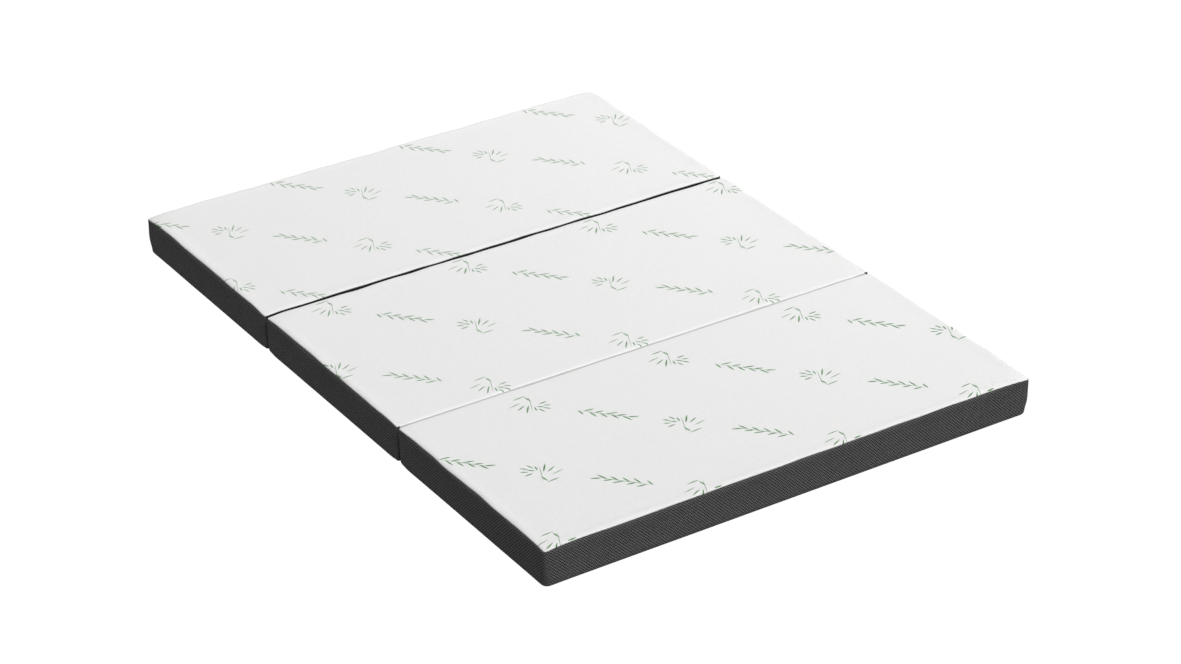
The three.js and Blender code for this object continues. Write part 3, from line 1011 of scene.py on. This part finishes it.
def settle_cloths(pieces):
    starts = {piece: points(piece) for piece in pieces}
    for frame_number in range(1, SETTLE_FRAMES + 1):
        scene.frame_set(frame_number)
    ready = bpy.context.evaluated_depsgraph_get()
    for piece, start in starts.items():
        moved = points(piece.evaluated_get(ready)) - start
        length = np.linalg.norm(moved, axis=1)
        moved *= (np.minimum(length, MOST_MOVE) / np.maximum(length, 1e-9))[:, None]
        piece.modifiers.clear()
        piece.vertex_groups.clear()
        move_points(piece, start + moved)
        print(piece.name, "moved by", round(length.mean() / MM, 2), "to", round(length.max() / MM, 2), "mm")
    scene.frame_set(1)


print("cloth moves by at most", MOST_MOVE)

# %% [markdown]
# The three covers are now made and settled. Afterwards each is held just off the floor, low enough to have
# room when it is folded, and short enough not to reach into its neighbour. The seam round the top sinks in
# by half a millimetre, as stitched cloth does.

# %% Three settled covers
FLOOR_ROOM, FOLD_ROOM, JOINT_REACH, SEAM_SINK = 0.2 * MM, 1.1 * MM, 3.7 * MM, 0.5 * MM


def keep_clear(piece, panel, box):
    """Holds a settled cover off the floor, under its fold room and out of its neighbours."""
    co = points(piece)
    co[:, 2] = np.clip(co[:, 2], FLOOR_ROOM, THICK + FOLD_ROOM)
    reach = HALF_LENGTH + JOINT_REACH
    co[:, 1] = np.clip(co[:, 1] - CENTRE[panel], -reach, reach) + CENTRE[panel]
    sewn = (np.abs(box[:, 2] - THICK) < TOUCH) & (to_rim(box) < TOUCH)
    inward = -np.sign(box) * (np.abs(box) > (HALF_WIDTH - TOUCH, HALF_LENGTH - TOUCH, 0))
    co[sewn] += inward[sewn] * SEAM_SINK
    move_points(piece, co)


COVER_MESH, COVER_BOX = {}, {}
for number, panel in enumerate(PANELS):
    cover = cover_grid(panel)
    box = points(cover)
    move_points(cover, cover_shape(box, panel, seed=20 * number + 7))
    COVER_MESH[panel], COVER_BOX[panel] = cover, box
    add_cloth(cover, panel, box)
settle_cloths(list(COVER_MESH.values()))
for panel, cover in COVER_MESH.items():
    keep_clear(cover, panel, COVER_BOX[panel])
print("covers of", len(COVER_BOX["foot"]), "points each")

# %% [markdown]
# A cover is cut apart along its seams into the cloths it is sewn from: the printed top, the mesh band and
# the underside. On the two edges that share the top fold, the printed knit runs a little way down into the
# joint, to where the strip is sewn in. The band gets a UV map that lays it out flat, in metres.

# %% Seams and the band's map
ROUND_PANEL = 4 * (HALF_WIDTH + HALF_LENGTH)
MAP_SCALE = round(ROUND_PANEL / MESH_STEP) * MESH_STEP / ROUND_PANEL
ROLL_SHORT, WALL_SHORT = 9 * MM, 6 * MM


def face_middles(piece):
    """Where each face of a cover lies on the flat-sided box: its middle and its corners."""
    box = np.empty(len(piece.data.vertices) * 3)
    piece.data.attributes[BOX_PLACE].data.foreach_get("vector", box)
    box = box.reshape(-1, 3)
    corners = np.empty(len(piece.data.loops), int)
    piece.data.loops.foreach_get("vertex_index", corners)
    corners = corners.reshape(-1, 4)
    return box[corners].mean(1), box[corners]


def is_top(middle, panel):
    """True for the faces that are cut from the printed knit."""
    rolled = (middle[:, 2] > BAND_LINE) & (top_joint(middle, panel) > 0.999)
    rolled &= np.abs(middle[:, 0]) < HALF_WIDTH - ROLL_SHORT
    return (middle[:, 2] > THICK - TOUCH) | rolled


def is_opening(middle):
    inside = (middle[:, 2] > SLOT_LOW) & (middle[:, 2] < SLOT_HIGH) & (np.abs(middle[:, 1]) < SLOT_HALF)
    return inside & (middle[:, 0] > HALF_WIDTH - TOUCH)


def map_band(piece):
    """Lays the band out flat: round the panel one way and up its side the other, in metres."""
    middle, corner = face_middles(piece)
    on_x = np.abs(middle[:, 0]) > HALF_WIDTH - TOUCH
    east, north = on_x & (middle[:, 0] > 0), ~on_x & (middle[:, 1] > 0)
    west = on_x & (middle[:, 0] < 0)
    x, y = corner[:, :, 0], corner[:, :, 1]
    u = x.copy()
    u[east] = (HALF_WIDTH + HALF_LENGTH + y)[east]
    u[north] = (2 * HALF_WIDTH + 2 * HALF_LENGTH - x)[north]
    u[west] = (-HALF_WIDTH - HALF_LENGTH - y)[west]
    flat = np.stack([u * MAP_SCALE, corner[:, :, 2]], 2)
    layer = piece.data.uv_layers.new(name=MESH_MAP)
    layer.data.foreach_set("uv", flat.ravel())


print("band runs", ROUND_PANEL, "m round a panel, mapped at", MAP_SCALE)

# %% [markdown]
# Each cloth is a copy of the cover with only its own faces kept, given its real thickness inwards and one
# level of subdivision. The walls that face each other inside a joint get a near-black cloth, painted shade
# of the narrow gap between them.

# %% Cutting the covers apart
KNIT_THICK, BAND_THICK, BASE_THICK = 2.0 * MM, 2.0 * MM, 1.4 * MM


def cut_cloth(cover, name, keep, material, thick, inside=None):
    """A copy of a cover with only the faces to keep, made into cloth of its real thickness."""
    piece = copy_of(cover, name)
    piece.data.materials.clear()
    piece.data.materials.append(material)
    if inside is not None:
        piece.data.materials.append(JOINT_SHADE_CLOTH)
        piece.data.polygons.foreach_set("material_index", inside.astype(np.int32))
    choose(piece, faces=~keep)
    bpy.ops.mesh.delete(type="FACE")
    close_edit()
    apply_modifier(piece, "SOLIDIFY", thickness=thick, offset=-1.0, use_even_offset=True)
    subdivide_once(piece)
    piece.data.attributes.remove(piece.data.attributes[BOX_PLACE])
    return smooth(piece)


TOPS, BANDS, BASES = {}, {}, {}
for panel, cover in COVER_MESH.items():
    map_band(cover)
    middle, _ = face_middles(cover)
    top, base = is_top(middle, panel), middle[:, 2] < TOUCH
    band = ~top & ~base & ~is_opening(middle)
    # The walls inside a joint get the near-black cloth, painted shade of the gap.
    inside = (joint_faces(middle, panel) > 0.5) & (np.abs(middle[:, 0]) < HALF_WIDTH - WALL_SHORT)
    TOPS[panel] = cut_cloth(cover, f"{panel}_printed_top", top, PRINTED_KNIT[panel], KNIT_THICK)
    BANDS[panel] = cut_cloth(cover, f"{panel}_mesh_band", band, AIR_MESH, BAND_THICK, inside)
    BASES[panel] = cut_cloth(cover, f"{panel}_underside", base, UNDERSIDE, BASE_THICK)
    bpy.data.objects.remove(cover)
for panel in PANELS:
    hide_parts(f"{panel}_top_fabric")
    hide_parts(f"{panel}_side_band")
    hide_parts(f"{panel}_bottom_fabric")
    for cloth in (TOPS[panel], BANDS[panel], BASES[panel]):
        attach(cloth, f"{panel}_panel")
print("cloth faces:", [len(c.data.polygons) for c in (TOPS["foot"], BANDS["foot"], BASES["foot"])])

# %% [markdown]
# ## The foam
#
# The foam can't be seen until a zip is opened, but it is what the covers are stretched over. Each layer is
# a block cut from a sheet of foam. A box has its upright corners bevelled, then its edges, and is cut into a
# grid. Its broad faces are crowned very slightly, because foam that is squeezed by a tight cover bulges in
# the middle, and it dips at the corners with the cover.

# %% Foam layers
FOAM_GAP, CAD_FOAM_GAP, FOAM_RISE, FOAM_SINK = 5.2 * MM, 3.3 * MM, 0.3 * MM, 2.6 * MM
FOAM_CORNER, FOAM_EDGE, FOAM_CUTS, FOAM_CROWN = 14 * MM, 4 * MM, 8, 0.5 * MM
FOAM_DIP = 1.5  # how much deeper and wider than the cloth the foam dips at a corner


def foam_layer(panel, layer, material):
    low, high = (np.array(c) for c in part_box(f"{panel}_{layer}"))
    inset = (FOAM_GAP - CAD_FOAM_GAP) * np.array([1, 1, 0])
    low, high = low + inset + np.array([0, 0, FOAM_RISE]), high - inset
    if layer == "memory_foam":
        high[2] = THICK - KNIT_THICK - FOAM_SINK
    piece = start_box(f"{panel}_{layer}_pad", low, high)
    choose(piece, edges=edges_along(piece, 2))
    bpy.ops.mesh.bevel(offset=FOAM_CORNER, segments=4, affect="EDGES")
    close_edit()
    round_edges(piece, FOAM_EDGE, 3, 50)
    for axis in (0, 1):
        cut_across(piece, axis, low, high, FOAM_CUTS)
    places = points(piece)
    share = (places - (low + high) / 2) / ((high - low) / 2)
    crown = (1 - share[:, 0] ** 2).clip(0) * (1 - share[:, 1] ** 2).clip(0)
    places[:, 2] += FOAM_CROWN * crown * np.sign(share[:, 2]) * (np.abs(share[:, 2]) > 0.99)
    x, y = places[:, 0], places[:, 1] - CENTRE[panel]
    dip = FOAM_DIP * corner_dip(y, panel) * near_corner(x, y, FOAM_DIP * CORNER_REACH)
    places[:, 2] -= dip * (places[:, 2] / THICK) ** 2
    move_points(piece, places)
    dress(piece, material, 40)
    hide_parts(f"{panel}_{layer}")
    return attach(piece, f"{panel}_panel")


FOAM_KINDS = (("support_foam", SUPPORT_FOAM), ("memory_foam", MEMORY_FOAM))
FOAMS = {panel: [foam_layer(panel, *kind) for kind in FOAM_KINDS] for panel in PANELS}
print("foam faces:", len(FOAMS["foot"][0].data.polygons))

# %% [markdown]

# %% [markdown]
# ## The hinges
#
# Two strips of cloth hold the panels together. The white one is sewn to the top edges of the foot and
# middle panels and lies in the shallow groove between them. The dark one is sewn across the foot of the
# other joint. A strip starts as a thin box that is cut into a fine grid, and its places are then bent: it
# dips between the panels, and it has small waves along its length, because nothing stretches it that way.

# %% Hinge strips
STRIP_THICK, STRIP_HALF, STRIP_SHORT = 1.0 * MM, 6.0 * MM, 8.0 * MM
STRIP_WAVES, END_DROP, END_REACH, TURN_HALF = 0.35 * MM, 1.2 * MM, 9 * MM, 4.6 * MM
TOP_STRIP_HEIGHT, LOW_STRIP_HEIGHT = THICK - 3.3 * MM, 8.6 * MM


def hinge_strip(name, fold, height, dip, seed, material):
    half = HALF_WIDTH - STRIP_SHORT
    low = (-half, fold - STRIP_HALF, height - STRIP_THICK)
    high = (half, fold + STRIP_HALF, height)
    piece = start_box(name, low, high)
    cut_along(piece, 0, 97)
    cut_along(piece, 1, 9)
    places = points(piece)
    over = (places[:, 1] - fold) / STRIP_HALF
    hang = np.cos(np.clip(over, -1, 1) * math.pi / 2) ** 2
    along = places * np.array([1, 0, 0])
    places[:, 2] -= hang * (dip + STRIP_WAVES * ripples(along, 0.07, seed))
    places[:, 2] -= END_DROP * ease(np.abs(places[:, 0]), half - END_REACH, half)
    move_points(piece, places)
    return dress(subdivide_once(piece), material, 50)


TOP_STRIP = hinge_strip("top_hinge_strip", TOP_FOLD, TOP_STRIP_HEIGHT, 1.0 * MM, 71, PLAIN_KNIT)
LOW_STRIP = hinge_strip("lower_hinge_strip", LOW_FOLD, LOW_STRIP_HEIGHT, 1.2 * MM, 83, HINGE_TAPE)
for strip, fold, slot_name, hinge, sewn_to, (first, second) in (
    (TOP_STRIP, TOP_FOLD, "knit_fabric", "top", TOPS, ("foot", "middle")),
    (LOW_STRIP, LOW_FOLD, "air_mesh", "bottom", BANDS, ("middle", "head")),
):
    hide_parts(f"{hinge}_hinge_{first}_leaf", f"{hinge}_hinge_{second}_leaf")
    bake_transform(strip)
print("hinge strips:", TOP_STRIP.name, LOW_STRIP.name)

# %% [markdown]
# ## The zips
#
# Each cover has a long zip on one side. A woven tape runs along both edges of the opening. It lies just
# below the surface at the teeth and steps back behind the band where it is sewn in. The step is made by
# sliding the outer rows of a finely cut strip inwards.

# %% Zip tapes
TAPE_THICK, TAPE_OVERRUN, TAPE_WAVES = 0.7 * MM, 4 * MM, 0.15 * MM
TAPE_STEP, TAPE_TUCK = 2.3 * MM, 3.2 * MM
ZIP_SIDES = (("upper", 1), ("lower", -1))


def zip_tape(panel, which, side):
    low, high = (np.array(c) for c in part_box(f"{panel}_zip_{which}_tape"))
    low[1] -= TAPE_OVERRUN
    high[1] += TAPE_OVERRUN
    if side > 0:
        high[2] += TAPE_TUCK
    else:
        low[2] -= TAPE_TUCK
    low[0] = high[0] - TAPE_THICK
    piece = start_box(f"{panel}_zip_{which}_cloth", low, high)
    cut_along(piece, 1, 95)
    cut_along(piece, 2, 15)
    places = points(piece)
    out = np.abs(places[:, 2] - ZIP_HEIGHT)
    past_end = np.abs(places[:, 1] - CENTRE[panel])
    to_sewn_edge = ease(out, 8.5 * MM, 13.2 * MM)
    to_end = ease(past_end, SLOT_HALF - 7 * MM, SLOT_HALF - 0.5 * MM)
    step = np.maximum(to_sewn_edge, to_end)
    places[:, 0] -= TAPE_STEP * step
    places[:, 0] += TAPE_WAVES * ripples(places * np.array([0, 1, 1]), 0.05, 90 + side) * (1 - step)
    move_points(piece, places)
    dress(piece, ZIP_TAPE, 50)
    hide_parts(f"{panel}_zip_{which}_tape")
    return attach(piece, f"{panel}_panel")


TAPES = [zip_tape(panel, *side) for panel in PANELS for side in ZIP_SIDES]
print("zip tapes:", len(TAPES), "with a step of", TAPE_STEP)

# %% [markdown]
# A coil zip's teeth are turns of one nylon thread, flattened where they cross the tape. One turn is
# modelled: a short rod with rounded ends and a thick head that hooks over the other row. It is then
# repeated with Array, and the second row is set half a step along, so the heads take turns.

# %% Zip teeth
TOOTH_STEP, TOOTH_THICK, TOOTH_NEAR, TOOTH_FAR = 1.5 * MM, 0.52 * MM, -0.35 * MM, 2.9 * MM
HEAD_PLACE, HEAD_LENGTH, HEAD_SWELL, TIP_NARROWS = 0.4 * MM, 0.7 * MM, 0.35, 0.45
TOOTH_STRETCH, TOOTH_LEAN = 0.45, 0.12


def zip_teeth(panel, which, side):
    low, high = (np.array(c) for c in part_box(f"{panel}_zip_{which}_teeth"))
    count = int((high[1] - low[1]) / TOOTH_STEP) - 1
    first = low[1] + TOOTH_STEP * (0.5 if side > 0 else 1.0)
    centre = np.array([(low[0] + high[0]) / 2, first, ZIP_HEIGHT + side * (TOOTH_NEAR + TOOTH_FAR) / 2])
    bpy.ops.object.select_all(action="DESELECT")
    bpy.ops.mesh.primitive_cylinder_add(
        vertices=8, radius=TOOTH_THICK, depth=TOOTH_FAR - TOOTH_NEAR, location=centre
    )
    piece = cut_along(settle(bpy.context.object, f"{panel}_zip_{which}_coil"), 2, 3)
    places = points(piece)
    out = side * (places[:, 2] - ZIP_HEIGHT)
    swell = 1 + HEAD_SWELL * np.exp(-(((out - HEAD_PLACE) / HEAD_LENGTH) ** 2))
    tip = 1 - TIP_NARROWS * ((out < TOOTH_NEAR + 1e-5) | (out > TOOTH_FAR - 1e-5))
    for axis in (0, 1):
        places[:, axis] = centre[axis] + (places[:, axis] - centre[axis]) * swell * tip
    places[:, 0] += (places[:, 0] - centre[0]) * TOOTH_STRETCH
    places[:, 1] += TOOTH_LEAN * out * side
    move_points(piece, places)
    dress(repeat_along_y(piece, count, TOOTH_STEP), ZIP_TEETH, 60)
    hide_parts(f"{panel}_zip_{which}_teeth")
    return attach(piece, f"{panel}_panel")


TEETH = [zip_teeth(panel, *side) for panel in PANELS for side in ZIP_SIDES]
print("triangles in a row of teeth:", sum(len(p.vertices) - 2 for p in TEETH[0].data.polygons))

# %% [markdown]
# The slider, the pull and the two stops of each zip already have their real shapes in the frame: a bridge
# over two wings, and a pull with an eye. A cast part has no knife edges, though. So each is copied, its
# loose triangles are merged, and its sharp edges are bevelled by about a fifth of a millimetre.

# %% Cast parts of the zips
MERGE_WITHIN, PART_ROUND, STOP_ROUND = 0.01 * MM, 0.22 * MM, 0.2 * MM


def cast_part(node_name, name, body, round_by):
    piece = copy_of(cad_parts[node_name], name)
    choose_all(piece)
    bpy.ops.mesh.remove_doubles(threshold=MERGE_WITHIN)
    bpy.ops.mesh.dissolve_limited(angle_limit=math.radians(1))
    close_edit()
    round_edges(piece, round_by, 2, 35)
    dress(piece, ZIP_METAL, 35)
    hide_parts(node_name)
    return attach(piece, body)


for panel in PANELS:
    cast_part(f"{panel}_zip_slider", f"{panel}_slider_body", f"{panel}_slider", PART_ROUND)
    cast_part(f"{panel}_zip_pull", f"{panel}_pull_tab", f"{panel}_pull", PART_ROUND)
    for stop in ("top", "bottom"):
        cast_part(f"{panel}_zip_{stop}_stop", f"{panel}_{stop}_stop_clip", f"{panel}_panel", STOP_ROUND)
print("cast parts ready")

# %% [markdown]
# The tapes are held by a row of lock stitches along each edge of the opening. One stitch is a short thread
# with its ends turned down into the cloth. It is repeated with Array for each row.

# %% Stitches round the zips
STITCH_STEP, STITCH_THICK, STITCH_RISE = 4.0 * MM, 0.36 * MM, 0.32 * MM
STITCH_HALF, STITCH_BITE, FROM_EDGE = 1.55 * MM, 1.1 * MM, 2.6 * MM


def stitch_row(name, surface, start, height, count):
    """Stitches along y from start, lying on the plane x = surface."""
    bpy.ops.object.select_all(action="DESELECT")
    bpy.ops.mesh.primitive_cylinder_add(
        vertices=6,
        radius=STITCH_THICK,
        depth=2 * STITCH_HALF,
        location=(surface + STITCH_RISE, start + STITCH_STEP / 2, height),
        rotation=(math.pi / 2, 0, 0),
    )
    row = cut_along(settle(bpy.context.object, name), 1, 3)
    places = points(row)
    over = (places[:, 1] - start - STITCH_STEP / 2) / STITCH_HALF
    places[:, 0] -= STITCH_BITE * np.abs(over) ** 3
    move_points(row, places)
    return dress(repeat_along_y(row, count, STITCH_STEP), THREAD, 60)


STITCHES = []
stitch_count = int(2 * SLOT_HALF / STITCH_STEP)
for panel in PANELS:
    start = CENTRE[panel] - SLOT_HALF
    for which, height in (("lower", SLOT_LOW - FROM_EDGE), ("upper", SLOT_HIGH + FROM_EDGE)):
        row = stitch_row(f"{panel}_{which}_stitches", HALF_WIDTH, start, height, stitch_count)
        STITCHES.append(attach(row, f"{panel}_panel"))
print("stitch triangles in a row:", sum(len(p.vertices) - 2 for p in STITCHES[0].data.polygons))

# %% [markdown]
# ## The care label
#
# A blank satin label is sewn by its upper edge to the side of the head panel. It is a thin strip of cloth
# that hangs almost flat and curls outwards a little at its free edge.

# %% Care label
LABEL_CURL, LABEL_TWIST, LABEL_BELLY, LABEL_OUT, LABEL_SEWN = 1.5, 0.7, 0.9 * MM, 1.1 * MM, 0.8 * MM
LABEL_RISE, LABEL_MARGIN = 0.55 * MM, 2 * MM


def care_label():
    low, high = (np.array(c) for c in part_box("care_label"))
    piece = start_box("satin_label", low, high)
    cut_along(piece, 1, 23)
    cut_along(piece, 2, 15)
    places = points(piece)
    down = (high[2] - places[:, 2]) / (high[2] - low[2])
    along = (places[:, 1] - low[1]) / (high[1] - low[1])
    curl = down**2 * (LABEL_CURL + LABEL_TWIST * np.sin(along * 5.0)) * MM
    places[:, 0] += curl + LABEL_BELLY * np.sin(down * np.pi)
    places[:, 0] += LABEL_OUT
    places[:, 0] -= LABEL_SEWN * (1 - ease(down, 0.0, 0.16))
    move_points(piece, places)
    dress(subdivide_once(piece), LABEL_SATIN, 50)
    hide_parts("care_label")
    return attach(piece, "head_panel")


care_label()
label_low, label_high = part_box("care_label")
label_face, first_stitch = label_high[0] + LABEL_RISE, label_low[1] + LABEL_MARGIN
label_stitches = stitch_row("label_stitches", label_face, first_stitch, label_high[2] - FROM_EDGE, 14)
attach(label_stitches, "head_panel")
print("label at", [round(v, 4) for v in label_low])
